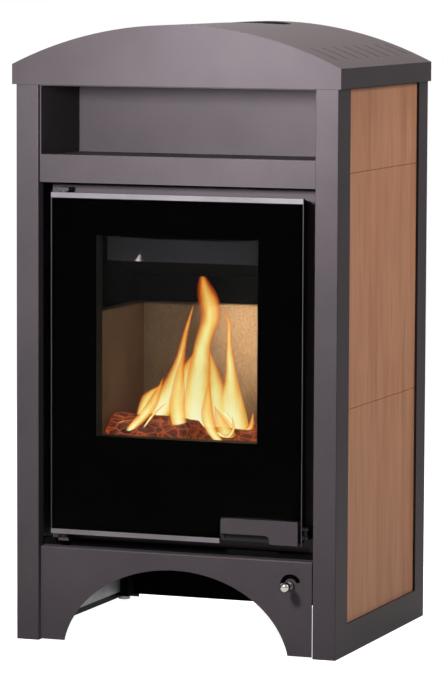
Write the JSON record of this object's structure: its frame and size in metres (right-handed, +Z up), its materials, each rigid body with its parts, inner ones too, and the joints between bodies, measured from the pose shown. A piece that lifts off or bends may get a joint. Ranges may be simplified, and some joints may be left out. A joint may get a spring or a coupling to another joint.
{
  "type": "boiler stove",
  "caption": "Free-standing wood boiler stove: arched vented cover, niche, stone side tiles, hinged glass door with a latch handle, lined firebox, water jacket, flue collar.",
  "frame": {"origin": "on the floor, under the middle of the box around the stove", "axes": "+X to the right seen from the front, +Y to the back, +Z up"},
  "size_m": [0.545, 0.505, 0.976],
  "materials": {
    "dark_enamel": "anthracite metallic enamel, fine satin",
    "stone_tile": "brown stone with fine upright veins, honed",
    "firebrick": "pressed vermiculite, matt",
    "clear_glass": "clear ceramic glass",
    "black_enamel": "black enamel fired behind the glass",
    "light_trim": "satin",
    "chrome_knob": "polished",
    "rope": "braided glass fibre rope",
    "cast_iron": "raw, sooty",
    "bright_steel": "turned steel",
    "zinc_steel": "zinc coated sheet",
    "black_steel": "heat-proof black paint, matt"
  },
  "bodies": {
    "stove": {"air_box": "black_steel", "air_deflector": "zinc_steel", "ash_pan": "zinc_steel", "back_panel": "zinc_steel", "baffle_plate": "cast_iron", "bottom_shield": "zinc_steel", "cooling_loop": "bright_steel", "drain_plug": "bright_steel", "firebox_shell": "black_steel", "flow_stub": "black_steel", "flue_collar": "black_steel", "front_plate": "black_steel", "front_plinth": "dark_enamel", "grate": "cast_iron", "grate_frame": "cast_iron", "hinge_brackets": "black_steel", "hinge_pins": "bright_steel", "latch_catch": "black_steel", "latch_roller": "bright_steel", "left_casing": "dark_enamel", "left_tile_lower": "stone_tile", "left_tile_middle": "stone_tile", "left_tile_tray": "zinc_steel", "left_tile_upper": "stone_tile", "levelling_feet": "black_steel", "log_guard": "cast_iron", "niche_liner": "dark_enamel", "niche_shelf": "dark_enamel", "panel_screws": "bright_steel", "rear_firebrick": "firebrick", "return_stub": "black_steel", "right_casing": "dark_enamel", "right_tile_lower": "stone_tile", "right_tile_middle": "stone_tile", "right_tile_tray": "zinc_steel", "right_tile_upper": "stone_tile", "sensor_sleeve": "bright_steel", "side_firebricks": "firebrick", "smoke_box": "black_steel", "support_frame": "black_steel", "top_cover": "dark_enamel", "water_jacket": "black_steel"},
    "door": {"door_frame": "black_steel", "door_glass": "clear_glass", "enamel_border": "black_enamel", "top_trim": "light_trim", "bottom_trim": "light_trim", "side_trims": "light_trim", "gasket_channel": "black_steel", "door_gasket": "rope", "inner_glass": "clear_glass", "glass_clips": "black_steel", "hinge_bushes": "bright_steel"},
    "handle": {"handle_plate": "dark_enamel", "latch_hook": "black_steel", "handle_pin": "bright_steel"},
    "air_control": {"air_knob": "chrome_knob", "air_spindle": "bright_steel", "air_index_arm": "black_steel", "air_damper_disc": "black_steel"}
  },
  "joints": [
    {"name": "door_hinge", "type": "hinge", "parent": "stove", "child": "door", "pos_m": [-0.194, -0.205, 0.44], "axis": [0, 0, -1], "range_deg": [0, 105]},
    {"name": "handle_pull", "type": "hinge", "parent": "door", "child": "handle", "pos_m": [0.1985, -0.213, 0.195], "axis": [0, 0, 1], "range_deg": [0, 30]},
    {"name": "air_knob_turn", "type": "hinge", "parent": "stove", "child": "air_control", "pos_m": [0.1923, -0.22, 0.113], "axis": [0, 1, 0], "range_deg": [0, 150]}
  ]
}
